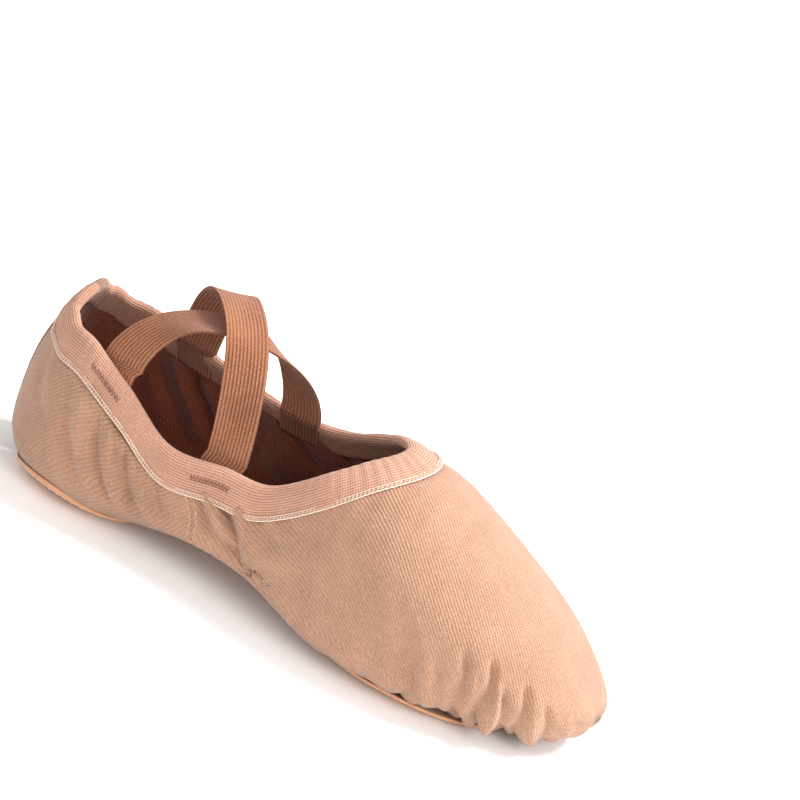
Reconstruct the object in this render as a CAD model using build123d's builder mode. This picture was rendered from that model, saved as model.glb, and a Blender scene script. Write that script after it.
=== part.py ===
"""Split-sole ballet slipper, right foot, size 37: stretch canvas, suede patches, elastic.

Millimetres.  +X points to the toe, +Y to the inner side of the foot, +Z up.
Stations are measured along the foot from the back of the heel.
"""
import os
from math import acos, cos, pi, sin, sqrt
from build123d import *

# ---- driving dimensions -------------------------------------------------
LENGTH = 238.0            # heel back to toe tip
CANVAS = 1.3              # stretch canvas with its lining
SUEDE = 1.2               # sole patches
BINDING_WIDTH = 12.5      # elastic binding around the opening
BINDING_OUT = 0.9         # how far the folded binding stands proud outside
BINDING_IN = 2.2          # and how far it reaches inside
OPENING_BACK = 3.0        # heel end of the opening
OPENING_FRONT = 142.0     # throat
HEEL_LEAN = 11.5          # the elastic pulls the heel top forward
STRAP_WIDTH = 15.0
STRAP_THICK = 1.2
SEAM_GAP = 0.15           # half the gap left between two sewn panels

# Stations with: outer side, inner side, underside, widest level, crown
STATIONS = [
    (0, 7.0, 7.0, 5.0, 18.0, 77.0),
    (6, -9.7, 23.9, 2.5, 18.4, 80.0),
    (14, -18.6, 31.2, 1.2, 19.0, 82.0),
    (28, -26.6, 37.3, 1.0, 19.7, 80.0),
    (48, -29.3, 38.4, 1.0, 20.3, 70.0),
    (70, -28.6, 36.4, 5.2, 20.3, 62.0),
    (90, -28.4, 33.1, 10.0, 19.7, 61.0),
    (110, -30.5, 33.1, 10.0, 18.8, 64.0),
    (128, -35.7, 34.5, 5.0, 17.9, 69.0),
    (142, -39.3, 37.6, 1.2, 17.1, 70.5),
    (158, -41.9, 40.8, 1.0, 16.2, 68.0),
    (176, -42.3, 42.2, 1.0, 15.2, 59.0),
    (194, -40.2, 41.2, 1.0, 14.4, 49.5),
    (210, -34.4, 37.2, 1.0, 13.8, 39.0),
    (222, -27.3, 31.2, 1.6, 13.4, 30.0),
    (231, -18.1, 22.5, 3.0, 13.2, 25.0),
    (238, 2.8, 2.8, 6.0, 13.0, 23.0),
]
# Plan of the opening's rolled edge: station, outer side, inner side
OPENING = [
    (3, 7.0, 7.0),
    (5, -2.4, 16.6),
    (10, -8.6, 21.6),
    (18, -14.6, 27.2),
    (30, -18.6, 30.2),
    (48, -21.2, 28.9),
    (70, -24.1, 22.8),
    (90, -22.9, 20.6),
    (110, -23.8, 21.6),
    (126, -20.5, 17.5),
    (136, -13.0, 10.5),
    (142, -1.0, -1.0),
]
# Which station of the outline each station of the opening looks down to
FACING = [(0, 3), (6, 6), (14, 13), (28, 26), (48, 46), (70, 68), (90, 89),
          (110, 109), (135, 124), (160, 134), (185, 138.5), (210, 141), (238, 142)]


# ---- the shape of the upper ---------------------------------------------
def turn(station, start=0.0, end=LENGTH):
    """Angle from 0 to pi along an oval, so that its round ends stay round."""
    return acos(1 - 2 * min(max((station - start) / (end - start), 0), 1))


def smooth(x, xs, ys):
    """A smooth curve through a few points."""
    n = len(xs)
    i = max(j for j in range(n - 1) if j == 0 or xs[j] <= x)
    h = xs[i + 1] - xs[i]

    def slope(j):
        if j in (0, n - 1):
            k = min(j, n - 2)
            return (ys[k + 1] - ys[k]) / (xs[k + 1] - xs[k])
        a, b = xs[j] - xs[j - 1], xs[j + 1] - xs[j]
        return ((ys[j] - ys[j - 1]) / a * b + (ys[j + 1] - ys[j]) / b * a) / (a + b)

    t = (x - xs[i]) / h
    rise = (2 * t**3 - 3 * t**2 + 1) * ys[i] + (3 * t**2 - 2 * t**3) * ys[i + 1]
    return rise + h * ((t**3 - 2 * t**2 + t) * slope(i) + (t**3 - t**2) * slope(i + 1))


STATION_TURNS = [turn(row[0]) for row in STATIONS]
OPENING_TURNS = [turn(row[0], OPENING_BACK, OPENING_FRONT) for row in OPENING]


def at(station, column):
    return smooth(turn(station), STATION_TURNS, [row[column] for row in STATIONS])


def opening_point(station, side):
    """Plan point on the opening's edge; side is 1 outer, 2 inner."""
    angle = turn(station, OPENING_BACK, OPENING_FRONT)
    return station, smooth(angle, OPENING_TURNS, [row[side] for row in OPENING])


def tip(station, back, front):
    """1 along the foot, falling to 0 on a round curve at the two tips."""
    if station < back:
        return sqrt(max(1 - (1 - station / back) ** 2, 0))
    if station > LENGTH - front:
        return sqrt(max(1 - ((station - LENGTH + front) / front) ** 2, 0))
    return 1.0


def height(station, y, upper):
    """Height of the outer face over a plan point, above or below the widest level."""
    low, high = at(station, 1), at(station, 2)
    half = max((high - low) / 2, 0.01)
    share = min(abs(y - (low + high) / 2) / half, 1.0)
    level = at(station, 4)
    if upper:
        reach = (at(station, 5) - level) * tip(station, 6.0, 22.0)
        return level + reach * (1 - share**2.1) ** (1 / 2.1)
    reach = (level - at(station, 3)) * tip(station, 9.0, 14.0)
    return level - reach * (1 - share**2.8) ** (1 / 2.8)


def place(station, y, z):
    """Row position of a surface point, with the lean and the round foot of the heel."""
    level = at(station, 4)
    fade = max(1 - station / 55, 0) ** 1.5
    above, below = max(z - level, 0) / 50, min(max(level - z, 0) / level, 1)
    lean = HEEL_LEAN * above**3 + 7 * (1 - sqrt(1 - 0.98 * below**2))
    return Vector(station - LENGTH / 2 + fade * lean, y, z)


def mix(a, b, t):
    return tuple(p + (q - p) * t for p, q in zip(a, b))


def wall(start, side_station, side, count=40):
    """Points from the opening's edge down to the widest line."""
    foot = (side_station, at(side_station, side))
    points = []
    for i in range(count + 1):
        station, y = mix(start, foot, sin(i / count * pi / 2))
        points.append(place(station, y, height(station, y, True)))
    return points


def along(points, distance):
    """Point at a distance along a run of points."""
    for a, b in zip(points, points[1:]):
        step = (b - a).length
        if distance <= step:
            return a + (b - a) * (distance / step)
        distance -= step
    return points[-1]


def run(points):
    return sum((b - a).length for a, b in zip(points, points[1:]))


def facing(outline_station):
    turns = [turn(pair[0]) for pair in FACING]
    return smooth(turn(outline_station), turns, [pair[1] for pair in FACING])


def wall_column(outline_station, side, start, end, count):
    """Even points down the wall between two distances from the rolled edge."""
    points = wall(opening_point(facing(outline_station), side), outline_station, side)
    end = run(points) if end is None else end
    return [along(points, start + (end - start) * i / count) for i in range(count + 1)]


def under_column(outline_station, side, end, bend, count):
    """Points from the widest line under the foot to a plan point."""
    start = (outline_station, at(outline_station, side))
    middle = mix(start, end, 0.5)
    middle = (middle[0] + bend[0], middle[1] + bend[1])
    points = []
    for i in range(1, count + 1):
        t = 1 - sqrt(1 - (i / count) ** 2)
        station, y = mix(mix(start, middle, t), mix(middle, end, t), t)
        points.append(place(station, y, height(station, y, False)))
    return points


def lifted(grid, amount):
    """The grid moved along its normals, positive to the outside."""
    moved = []
    for i, column in enumerate(grid):
        left, right = grid[max(i - 1, 0)], grid[min(i + 1, len(grid) - 1)]
        new = []
        for j, point in enumerate(column):
            up, down = column[max(j - 1, 0)], column[min(j + 1, len(column) - 1)]
            normal = (down - up).cross(right[j] - left[j])
            new.append(point + normal.normalized() * amount)
        moved.append(new)
    return moved


def skin(grid):
    return Face.make_surface_from_array_of_points(grid, tol=0.2, min_deg=3, max_deg=3)


def sheet(grid, lift, thickness):
    """A closed sheet that starts lifted off the grid and goes inward."""
    outer = skin(lifted(grid, lift) if lift else grid)
    inner = skin(lifted(grid, lift - thickness))
    rims = []
    for edge in outer.edges():
        partner = min(inner.edges(), key=lambda other: (other @ 0.5 - edge @ 0.5).length)
        rims.append(Face.make_surface_from_curves(edge, partner))
    solid = Solid(Shell([outer, inner] + rims))
    return solid.fix() if not solid.is_valid else solid


def steps(first, last, count):
    return [first + (last - first) * i / count for i in range(count + 1)]


def around(first, last, count):
    """Stations between two, closer together towards the round tips."""
    a, b = turn(first), turn(last)
    return [LENGTH / 2 * (1 - cos(a + (b - a) * i / count)) for i in range(count + 1)]


# ---- plan of the sole -----------------------------------------------------
FOREFOOT_PATCH = (173.3, -3.3, 38.0, 32.0)     # centre station, centre y, half sizes
HEEL_PATCH = (37.8, 1.0, 28.8, 26.1)
CENTRE_SEAM_Y = -4.6
SIDE_SEAM_TOP = 64.0                           # station where it meets the opening
SIDE_SEAM_LOW = {1: 88.0, 2: 80.0}             # where it crosses the widest line
SEAM_ANGLE = 2.62                              # where it runs in under the forefoot patch
SEAM_BEND = {1: (-6.0, 4.0), 2: (-8.0, -3.0)}


def oval(patch, angle, inset=0.0):
    """Plan point on a patch's outline; angle 0 points to the toe, turning inward."""
    station, y, long, wide = patch
    return station + (long - inset) * cos(angle), y + (wide - inset) * sin(angle)


def full_column(outline_station, opening_station, side, end, bend, count=16):
    """Even points from the canvas edge down the wall and on under the foot."""
    points = wall(opening_point(opening_station, side), outline_station, side)
    points += under_column(outline_station, side, end, bend, 30)
    length = run(points)
    return [along(points, EDGE + (length - EDGE) * i / count) for i in range(count + 1)]


EDGE = BINDING_WIDTH + 2 * SEAM_GAP


def quarter_end(side, share):
    """Plan point under the foot where a line of the rear panel ends."""
    sign = -1 if side == 1 else 1
    centre = (FOREFOOT_PATCH[0] - FOREFOOT_PATCH[2] + 7, CENTRE_SEAM_Y + sign * SEAM_GAP)
    if share < 0.45:
        return oval(HEEL_PATCH, pi * (1 - 1.6 * share) * sign, inset=6)
    if share < 0.85:
        t = (share - 0.45) / 0.4
        rear = oval(HEEL_PATCH, pi * 0.28 * sign, inset=6)
        pull = 1 - (1 - min(2.2 * t, 1)) ** 2
        return rear[0] + (centre[0] - rear[0]) * t, rear[1] + (centre[1] - rear[1]) * pull
    return mix(centre, oval(FOREFOOT_PATCH, sign * SEAM_ANGLE, inset=3), (share - 0.85) / 0.15)


def quarter(side, count=20):
    """Rear side panel: from the heel elastic forward to the slanted side seam."""
    ends = [quarter_end(side, i / count) for i in range(count + 1)]
    for _ in range(2):
        eased = [mix(mix(a, c, 0.5), b, 0.5) for a, b, c in zip(ends, ends[1:], ends[2:])]
        ends = [ends[0], *eased, ends[-1]]
    grid = []
    for i, outline in enumerate(around(2.2, SIDE_SEAM_LOW[side] - 2 * SEAM_GAP, count)):
        share = i / count
        opening = facing(outline) * (1 - share**3) + (SIDE_SEAM_TOP - 2 * SEAM_GAP) * share**3
        bend = (SEAM_BEND[side][0] * share**2, SEAM_BEND[side][1] * share**2)
        grid.append(full_column(outline, opening, side, ends[i], bend))
    return grid if side == 1 else grid[::-1]


def vamp(count=15):
    """Front panel: from one side seam around the toe to the other."""
    grid = []
    for side, sign in ((1, -1), (2, 1)):
        half = []
        for i, outline in enumerate(around(SIDE_SEAM_LOW[side], LENGTH, count)):
            share = i / count
            opening = facing(outline) * (1 - (1 - share) ** 3) + SIDE_SEAM_TOP * (1 - share) ** 3
            end = oval(FOREFOOT_PATCH, sign * SEAM_ANGLE * (1 - share), inset=3 + 4 * min(4 * share, 1))
            fade = (1 - share) ** 2
            bend = (SEAM_BEND[side][0] * fade, SEAM_BEND[side][1] * fade)
            half.append(full_column(outline, min(opening, OPENING_FRONT), side, end, bend))
        grid += half if side == 1 else half[-2::-1]
    return grid


def loop(start, end, count, first=0.0, last=LENGTH, sides=(1, 2)):
    """A band that follows the opening, between two distances from its edge."""
    grid = []
    for side in sides:
        stations = around(first, last, count)
        half = [wall_column(s, side, start, end, 3) for s in stations]
        grid += half if side == 1 else half[-2::-1]
    return grid


def under_patch(patch, inset, count=12):
    """Grid over a patch's oval on the underside of the foot."""
    grid = []
    for i in range(count + 1):
        angle = pi * (0.06 + 0.88 * i / count)
        station, reach = oval(patch, angle, inset)
        reach -= patch[1]
        ys = steps(patch[1] - reach, patch[1] + reach, 10)
        grid.append([Vector(station - LENGTH / 2, y, height(station, y, False)) for y in ys])
    return grid


def floor_sheet(patch, inset, lift, thickness):
    """A sheet over the patch's oval, from a level above the outer face, going up."""
    face = skin([[p + Vector(0, 0, lift) for p in column] for column in under_patch(patch, inset)])
    with BuildPart() as solid:
        thicken(face, amount=thickness, normal_override=Vector(0, 0, 1))
    return solid.part


def oval_ring(patch, inset, width):
    """Upright oval ring used to cut a stitch line out of a sheet."""
    station, y, long, wide = patch
    with BuildPart() as ring:
        with BuildSketch(Plane.XY.offset(-2)):
            with Locations((station - LENGTH / 2, y)):
                Ellipse(long - inset, wide - inset)
                Ellipse(long - inset - width, wide - inset - width, mode=Mode.SUBTRACT)
        extrude(amount=20)
    return ring.part


os.makedirs("parts", exist_ok=True)


def save(solid, name):
    with BuildPart() as piece:
        add(solid)
    piece.part.label = name
    export_step(piece.part, f"parts/{name}.step")
    return piece.part


# ---- canvas upper: one front panel and two rear side panels -------------------
save(sheet(vamp(), 0, CANVAS), "vamp")
save(sheet(quarter(1), 0, CANVAS), "quarter_outer")
save(sheet(quarter(2), 0, CANVAS), "quarter_inner")


# ---- ribbed elastic strip up the back of the heel --------------------------------
def heel_strip(end_station):
    grid = []
    for side in (1, 2):
        half = []
        for outline in (1.7, 0.9, 0.3) if side == 1 else (0.3, 0.9, 1.7):
            end = (end_station, 7.0 + (-5 if side == 1 else 5) * sqrt(outline / 1.7))
            half.append(full_column(outline, facing(outline), side, end, (0, 0), 14))
        grid += half
    return grid


save(sheet(heel_strip(9.5), 0, CANVAS), "heel_elastic")

# ---- elastic binding folded over the opening, with its overlocked edge --------------
save(sheet(loop(0, BINDING_WIDTH, 24, first=0.15), BINDING_OUT, BINDING_OUT + BINDING_IN), "topline_binding")
OVERLOCK = loop(BINDING_WIDTH - 1.3, BINDING_WIDTH + 0.2, 24, first=0.15)
save(sheet(OVERLOCK, BINDING_OUT + 0.5, 0.45), "binding_overlock")

# ---- suede sole patches with a sunk row of lockstitch ----------------------------------
for patch, name in ((FOREFOOT_PATCH, "forefoot_patch"), (HEEL_PATCH, "heel_patch")):
    with BuildPart() as ring:
        add(floor_sheet(patch, 0, -SUEDE - 0.25, 0.5))
        add(oval_ring(patch, 2.4, 0.8), mode=Mode.INTERSECT)
        with Locations((0, 0, -5)):
            Box(400, 200, 10, mode=Mode.SUBTRACT)
    save(ring.part, name + "_stitch")
    with BuildPart() as suede:
        add(floor_sheet(patch, 0, -SUEDE - 0.25, SUEDE + 0.15))
        with Locations((0, 0, -5)):
            Box(400, 200, 10, mode=Mode.SUBTRACT)
        add(ring.part, mode=Mode.SUBTRACT)
    save(suede.part, name)

# ---- insole pads inside, one for each patch --------------------------------------------
FOREFOOT_INSOLE = (176.0, -1.0, 44.0, 31.0)
HEEL_INSOLE = (38.0, 4.0, 29.0, 26.0)
save(floor_sheet(FOREFOOT_INSOLE, 0, CANVAS + 0.35, 2.2), "insole_forefoot")
save(floor_sheet(HEEL_INSOLE, 0, CANVAS + 0.35, 2.2), "insole_heel")

# ---- elastic straps: two free spans that cross over the instep -----------------------------
# Station of the outer foot, of the inner foot, and how far the arch rises over them
STRAPS = {"strap_rear": (41.0, 97.0, 24.5), "strap_front": (89.0, 50.0, 36.5)}


def strap_feet(outer_station, inner_station):
    feet = []
    for station, side, sign in ((outer_station, 1, 1), (inner_station, 2, -1)):
        s, y = opening_point(station, side)
        top = place(s, y, height(s, y, True))
        feet.append(top + Vector(0, sign * (BINDING_IN + 1.6), 1.6))
    return feet


def strap(outer_station, inner_station, height_above):
    """Grid along the arch, two edges wide; the edges keep to the rim at the feet."""
    foot, far = strap_feet(outer_station, inner_station)
    grid = []
    for i in range(17):
        t = 0.5 - 0.5 * cos(pi * i / 16)
        rise = height_above * (1 - abs(2 * t - 1) ** 2.4) ** (1 / 1.6)
        centre = foot + (far - foot) * t + Vector(0, 0, rise)
        chord = Vector(far.X - foot.X, far.Y - foot.Y, 0).normalized()
        across = Vector(1, 0, 0) * (1 - sin(pi * t)) + chord.cross(Vector(0, 0, 1)) * sin(pi * t)
        across = across.normalized() * (STRAP_WIDTH / 2)
        grid.append([centre - across, centre, centre + across])
    return grid


for name, (outer, inner, rise) in STRAPS.items():
    save(sheet(strap(outer, inner, rise), STRAP_THICK / 2, STRAP_THICK), name)

# ---- sewn strap ends inside the wall, and their bar tacks outside on the binding ---------------
ENDS = {"rear_outer": (41.0, 1), "front_inner": (97.0, 2), "front_outer": (89.0, 1), "rear_inner": (50.0, 2)}
for name, (station, side) in ENDS.items():
    reach = STRAP_WIDTH / 2
    stations = steps(station - reach, station + reach, 4)
    tab = [wall_column(s, side, 1.5, 11.5, 4) for s in stations]
    tab = tab if side == 1 else tab[::-1]
    save(sheet(tab, -BINDING_IN - 0.15, STRAP_THICK), "strap_end_" + name)
    tack = [wall_column(s, side, 5.2, 7.0, 2) for s in stations]
    tack = tack if side == 1 else tack[::-1]
    save(sheet(tack, BINDING_OUT + 0.5, 0.4), "bar_tack_" + name)


# ---- seam allowances taped flat inside ----------------------------------------------------------
def shifted(column, other, share):
    return [a + (b - a) * share for a, b in zip(column, other)]


for side, name in ((1, "seam_tape_outer"), (2, "seam_tape_inner")):
    seam, beside = quarter(side)[-2:][::-1] if side == 1 else quarter(side)[:2]
    shares = (0.75, 0.5, 0.25, 0.06) if side == 1 else (0.06, 0.25, 0.5, 0.75)
    tape = [shifted(seam, beside, share) for share in shares]
    tape = [column[2:-5] for column in tape]
    save(sheet(tape, -CANVAS - 0.15, 0.6), name)
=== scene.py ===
from math import cos, pi, radians, sin, sqrt
import bpy
import numpy as np
from mathutils import Matrix, Vector


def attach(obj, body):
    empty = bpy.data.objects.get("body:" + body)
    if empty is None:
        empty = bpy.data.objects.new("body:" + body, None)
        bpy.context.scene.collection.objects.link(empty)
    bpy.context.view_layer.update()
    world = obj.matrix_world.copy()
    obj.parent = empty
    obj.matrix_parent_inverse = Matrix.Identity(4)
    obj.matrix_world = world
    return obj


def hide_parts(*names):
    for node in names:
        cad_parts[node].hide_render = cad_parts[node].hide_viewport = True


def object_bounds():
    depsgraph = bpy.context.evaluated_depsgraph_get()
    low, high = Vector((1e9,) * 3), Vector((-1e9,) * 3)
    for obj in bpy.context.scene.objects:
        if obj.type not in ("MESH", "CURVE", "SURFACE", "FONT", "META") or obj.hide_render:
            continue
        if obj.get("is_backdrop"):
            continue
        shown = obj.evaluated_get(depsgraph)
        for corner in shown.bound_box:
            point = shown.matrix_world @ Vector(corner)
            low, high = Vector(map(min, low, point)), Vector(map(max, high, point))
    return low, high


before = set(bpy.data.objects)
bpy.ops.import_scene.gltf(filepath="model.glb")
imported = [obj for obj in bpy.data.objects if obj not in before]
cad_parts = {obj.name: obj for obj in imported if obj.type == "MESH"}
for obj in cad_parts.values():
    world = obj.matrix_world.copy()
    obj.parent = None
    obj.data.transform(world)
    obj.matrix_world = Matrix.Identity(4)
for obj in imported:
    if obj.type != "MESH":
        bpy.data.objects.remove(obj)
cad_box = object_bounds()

# ---- 1. Vamp ---------------------------------------------------------------
# The real piece is one panel of stretch canvas, tan outside and lined in brown,
# drawn over the toe and gathered under the forefoot patch.  It is sewn to the two
# quarters along the slanted side seams and held by the elastic binding on top.
LENGTH = 238.0
CANVAS = 1.3
BINDING_WIDTH = 12.5
HEEL_LEAN = 11.5
OPENING_ENDS = (3.0, 142.0)
# station, outer side, inner side, underside, widest level, crown (mm)
STATIONS = np.array([
    (0, 7.0, 7.0, 5.0, 18.0, 77.0), (6, -9.7, 23.9, 2.5, 18.4, 80.0),
    (14, -18.6, 31.2, 1.2, 19.0, 82.0), (28, -26.6, 37.3, 1.0, 19.7, 80.0),
    (48, -29.3, 38.4, 1.0, 20.3, 70.0), (70, -28.6, 36.4, 5.2, 20.3, 62.0),
    (90, -28.4, 33.1, 10.0, 19.7, 61.0), (110, -30.5, 33.1, 10.0, 18.8, 64.0),
    (128, -35.7, 34.5, 5.0, 17.9, 69.0), (142, -39.3, 37.6, 1.2, 17.1, 70.5),
    (158, -41.9, 40.8, 1.0, 16.2, 68.0), (176, -42.3, 42.2, 1.0, 15.2, 59.0),
    (194, -40.2, 41.2, 1.0, 14.4, 49.5), (210, -34.4, 37.2, 1.0, 13.8, 39.0),
    (222, -27.3, 31.2, 1.6, 13.4, 30.0), (231, -18.1, 22.5, 3.0, 13.2, 25.0),
    (238, 2.8, 2.8, 6.0, 13.0, 23.0)])
# the opening's rolled edge in plan: station, outer side, inner side
OPENING = np.array([
    (3, 7.0, 7.0), (5, -2.4, 16.6), (10, -8.6, 21.6), (18, -14.6, 27.2),
    (30, -18.6, 30.2), (48, -21.2, 28.9), (70, -24.1, 22.8), (90, -22.9, 20.6),
    (110, -23.8, 21.6), (126, -20.5, 17.5), (136, -13.0, 10.5), (142, -1.0, -1.0)])
FACING = np.array([(0, 3), (6, 6), (14, 13), (28, 26), (48, 46), (70, 68), (90, 89),
                   (110, 109), (135, 124), (160, 134), (185, 138.5), (210, 141), (238, 142)])
# an oval patch: station, y, half length, half width
FOREFOOT_PATCH = (173.3, -3.3, 38.0, 32.0)
SIDE_SEAM_TOP = 64.0
SIDE_SEAM_LOW = {1: 88.0, 2: 80.0}
SEAM_ANGLE = 2.62
SEAM_BEND = {1: (-6.0, 4.0), 2: (-8.0, -3.0)}
# where the canvas comes out from under the binding, down from the rolled edge
EDGE = BINDING_WIDTH - 0.3


def turn(station, start=0.0, end=LENGTH):
    """A station as an angle, so that curves round off at both ends."""
    return np.arccos(1 - 2 * np.clip((station - start) / (end - start), 0, 1))


def smooth(x, xs, ys):
    """A smooth curve through a few points, for arrays."""
    x = np.asarray(x, float)
    h = np.diff(xs)
    d = np.diff(ys) / h
    m = np.r_[d[0], (d[:-1] * h[1:] + d[1:] * h[:-1]) / (h[1:] + h[:-1]), d[-1]]
    i = np.clip(np.searchsorted(xs, x, side="right") - 1, 0, len(xs) - 2)
    t = (x - xs[i]) / h[i]
    rise = (2 * t**3 - 3 * t**2 + 1) * ys[i] + (3 * t**2 - 2 * t**3) * ys[i + 1]
    return rise + h[i] * ((t**3 - 2 * t**2 + t) * m[i] + (t**3 - t**2) * m[i + 1])


def at(station, column):
    return smooth(turn(station), turn(STATIONS[:, 0]), STATIONS[:, column])


def opening_point(station, side):
    angle = turn(station, *OPENING_ENDS)
    return np.array([station, smooth(angle, turn(OPENING[:, 0], *OPENING_ENDS), OPENING[:, side])])


def tip(station, back, front):
    """1 along the foot, rounding down to 0 at the heel and at the toe."""
    rear = np.sqrt(np.clip(1 - (1 - np.clip(station / back, 0, 1)) ** 2, 0, 1))
    fore = np.sqrt(np.clip(1 - np.clip((station - LENGTH + front) / front, 0, 1) ** 2, 0, 1))
    return rear * fore


def height(station, y, upper):
    """Height of the canvas over or under a plan point."""
    low, high = at(station, 1), at(station, 2)
    share = np.clip(np.abs(y - (low + high) / 2) / np.maximum((high - low) / 2, 0.01), 0, 1)
    level = at(station, 4)
    top = level + (at(station, 5) - level) * tip(station, 6.0, 22.0) * (1 - share**2.1) ** (1 / 2.1)
    base = level - (level - at(station, 3)) * tip(station, 9.0, 14.0) * (1 - share**2.8) ** (1 / 2.8)
    return np.where(upper, top, base)


def place(station, y, z):
    """A point in space, with the heel leaning forward towards its top and bottom."""
    level = at(station, 4)
    fade = np.clip(1 - station / 55, 0, 1) ** 1.5
    above, below = np.clip(z - level, 0, 999) / 50, np.clip((level - z) / level, 0, 1)
    lean = HEEL_LEAN * above**3 + 7 * (1 - np.sqrt(1 - 0.98 * below**2))
    return np.stack([station - LENGTH / 2 + fade * lean, y, z], -1)


def facing(outline):
    """The opening's station that an outline station faces across the wall."""
    return float(smooth(turn(outline), turn(FACING[:, 0]), FACING[:, 1]))


def around(first, last, share):
    """A station between two others, spaced evenly round the rounded ends."""
    a, b = turn(first), turn(last)
    return LENGTH / 2 * (1 - cos(a + (b - a) * share))


def fabric_uv(station, y, upper, sign):
    """Millimetres on the cloth: along the foot, and across from the crown line."""
    low, high = at(station, 1), at(station, 2)
    half = np.maximum((high - low) / 2, 0.01)
    share = np.clip((y - (low + high) / 2) / half, -1, 1) * sign
    level = at(station, 4)
    rise, drop = at(station, 5) - level, level - at(station, 3)

    def arc(part, reach):
        a = np.arcsin(np.abs(part) ** 1.05)[..., None] * np.linspace(0, 1, 13)
        path = np.stack([half[..., None] * np.sin(a) ** 0.952, reach[..., None] * np.cos(a) ** 0.952])
        return np.sqrt((np.diff(path, axis=-1) ** 2).sum(0)).sum(-1) * np.sign(part)

    whole = np.ones_like(share)
    under = arc(whole, rise) + arc(whole, drop) - arc(share, drop)
    across = np.where(upper, arc(share, rise), under) * sign
    steps = np.linspace(0, LENGTH, 200)
    climb = np.diff(at(steps, 5) * tip(steps, 6, 22)) * (steps[1:] > 120)
    crest = np.r_[0, np.cumsum(np.hypot(np.diff(steps), climb))]
    extra = (np.interp(station, steps, crest) - station) * (1 - np.abs(share)) * upper
    return np.stack([station + extra, across], -1)


def column(outline, opening, side, end=None, bend=(0, 0), start=EDGE, stop=None, count=16):
    """Even points from below the rolled edge down the wall and on under the foot."""
    top = opening_point(min(max(opening, 3.0), 142.0), side)
    foot = np.array([outline, at(outline, side)])
    t = np.sin(np.linspace(0, 1, 90) * pi / 2)[:, None]
    plan = top + (foot - top) * t
    upper = np.ones(90, bool)
    if end is not None:
        t = 1 - np.sqrt(1 - np.linspace(0, 1, 80)[1:, None] ** 2)
        middle = (foot + end) / 2 + np.array(bend)
        under = (foot + (middle - foot) * t) * (1 - t) + (middle + (end - middle) * t) * t
        plan, upper = np.r_[plan, under], np.r_[upper, np.zeros(79, bool)]
    points = place(plan[:, 0], plan[:, 1], height(plan[:, 0], plan[:, 1], upper))
    uv = fabric_uv(plan[:, 0], plan[:, 1], upper, -1 if side == 1 else 1)
    length = np.r_[0, np.cumsum(np.linalg.norm(np.diff(points, axis=0), axis=1))]
    spots = np.linspace(start, stop or length[-1], count)
    points, uv = (np.stack([np.interp(spots, length, v) for v in values.T], -1) for values in (points, uv))
    return points, uv, np.stack([spots, length[-1] - spots], -1)


def normals(grid, wrap=False):
    """Outward directions, evened out where the columns crowd together."""
    du = np.roll(grid, -1, 0) - np.roll(grid, 1, 0) if wrap else np.gradient(grid, axis=0)
    n = np.cross(np.gradient(grid, axis=1), du)
    station = np.clip(grid[..., 0] + LENGTH / 2, 22, 208)
    width_middle = (at(station, 1) + at(station, 2)) / 2
    middle = np.stack([station - LENGTH / 2, width_middle, at(station, 4)], -1)
    n *= np.sign(((grid - middle) * n).sum(-1, keepdims=True))
    for _ in range(4):
        n = n / np.maximum(np.linalg.norm(n, axis=2, keepdims=True), 1e-9)
        p = np.pad(n, ((1, 1), (1, 1), (0, 0)), mode="edge")
        n = p[:-2, 1:-1] + p[2:, 1:-1] + p[1:-1, :-2] + p[1:-1, 2:] + n
    return n / np.linalg.norm(n, axis=2, keepdims=True)


MAP_SIZE = 100  # millimetres of cloth on one unit of a piece's map


def finish_piece(name, verts, faces, materials, body="slipper", marks=None, uvs=None):
    """A smooth mesh object made from millimetres, riding on its body."""
    mesh = bpy.data.meshes.new(name)
    mesh.from_pydata((np.asarray(verts) / 1000).tolist(), [], faces)
    for material in materials:
        mesh.materials.append(material)
    if marks is not None:
        mesh.polygons.foreach_set("material_index", np.asarray(marks, np.int32))
    mesh.polygons.foreach_set("use_smooth", np.ones(len(mesh.polygons), bool))
    if uvs is not None:
        layer = mesh.uv_layers.new(name="mm")
        loops = np.zeros(len(mesh.loops), np.int32)
        mesh.loops.foreach_get("vertex_index", loops)
        layer.data.foreach_set("uv", (np.asarray(uvs)[loops] / MAP_SIZE).ravel())
    mesh.validate()
    piece = bpy.data.objects.new(name, mesh)
    bpy.context.collection.objects.link(piece)
    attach(piece, body)
    return piece


def cloth(name, outer, inner, uv, materials, wrap=False, body="slipper"):
    """Two faces of a panel closed by rims; the inner face takes material 2."""
    nu, nv = outer.shape[:2]
    count = nu * nv
    index = np.arange(count).reshape(nu, nv)
    faces, marks = [], []
    span = nu if wrap else nu - 1
    for i in range(span):
        k = (i + 1) % nu
        for j in range(nv - 1):
            a, b, c, d = index[i, j], index[k, j], index[k, j + 1], index[i, j + 1]
            faces.append((d, c, b, a))
            faces.append((a + count, b + count, c + count, d + count))
            marks += [0, 1]
    rim = [(index[i, 0], index[(i + 1) % nu, 0], 0) for i in range(span)]
    rim += [(index[(i + 1) % nu, -1], index[i, -1], 0) for i in range(span)]
    if not wrap:
        rim += [(index[0, j + 1], index[0, j], 0) for j in range(nv - 1)]
        rim += [(index[-1, j], index[-1, j + 1], 0) for j in range(nv - 1)]
    for a, b, mark in rim:
        faces.append((a, b, b + count, a + count))
        marks.append(mark)
    verts = np.r_[outer.reshape(-1, 3), inner.reshape(-1, 3)]
    both = np.r_[uv.reshape(-1, 2), uv.reshape(-1, 2)]
    marks = np.minimum(marks, len(materials) - 1)
    faces = [tuple(int(v) for v in face) for face in faces]
    return finish_piece(name, verts, faces, materials, body, marks, both)


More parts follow.
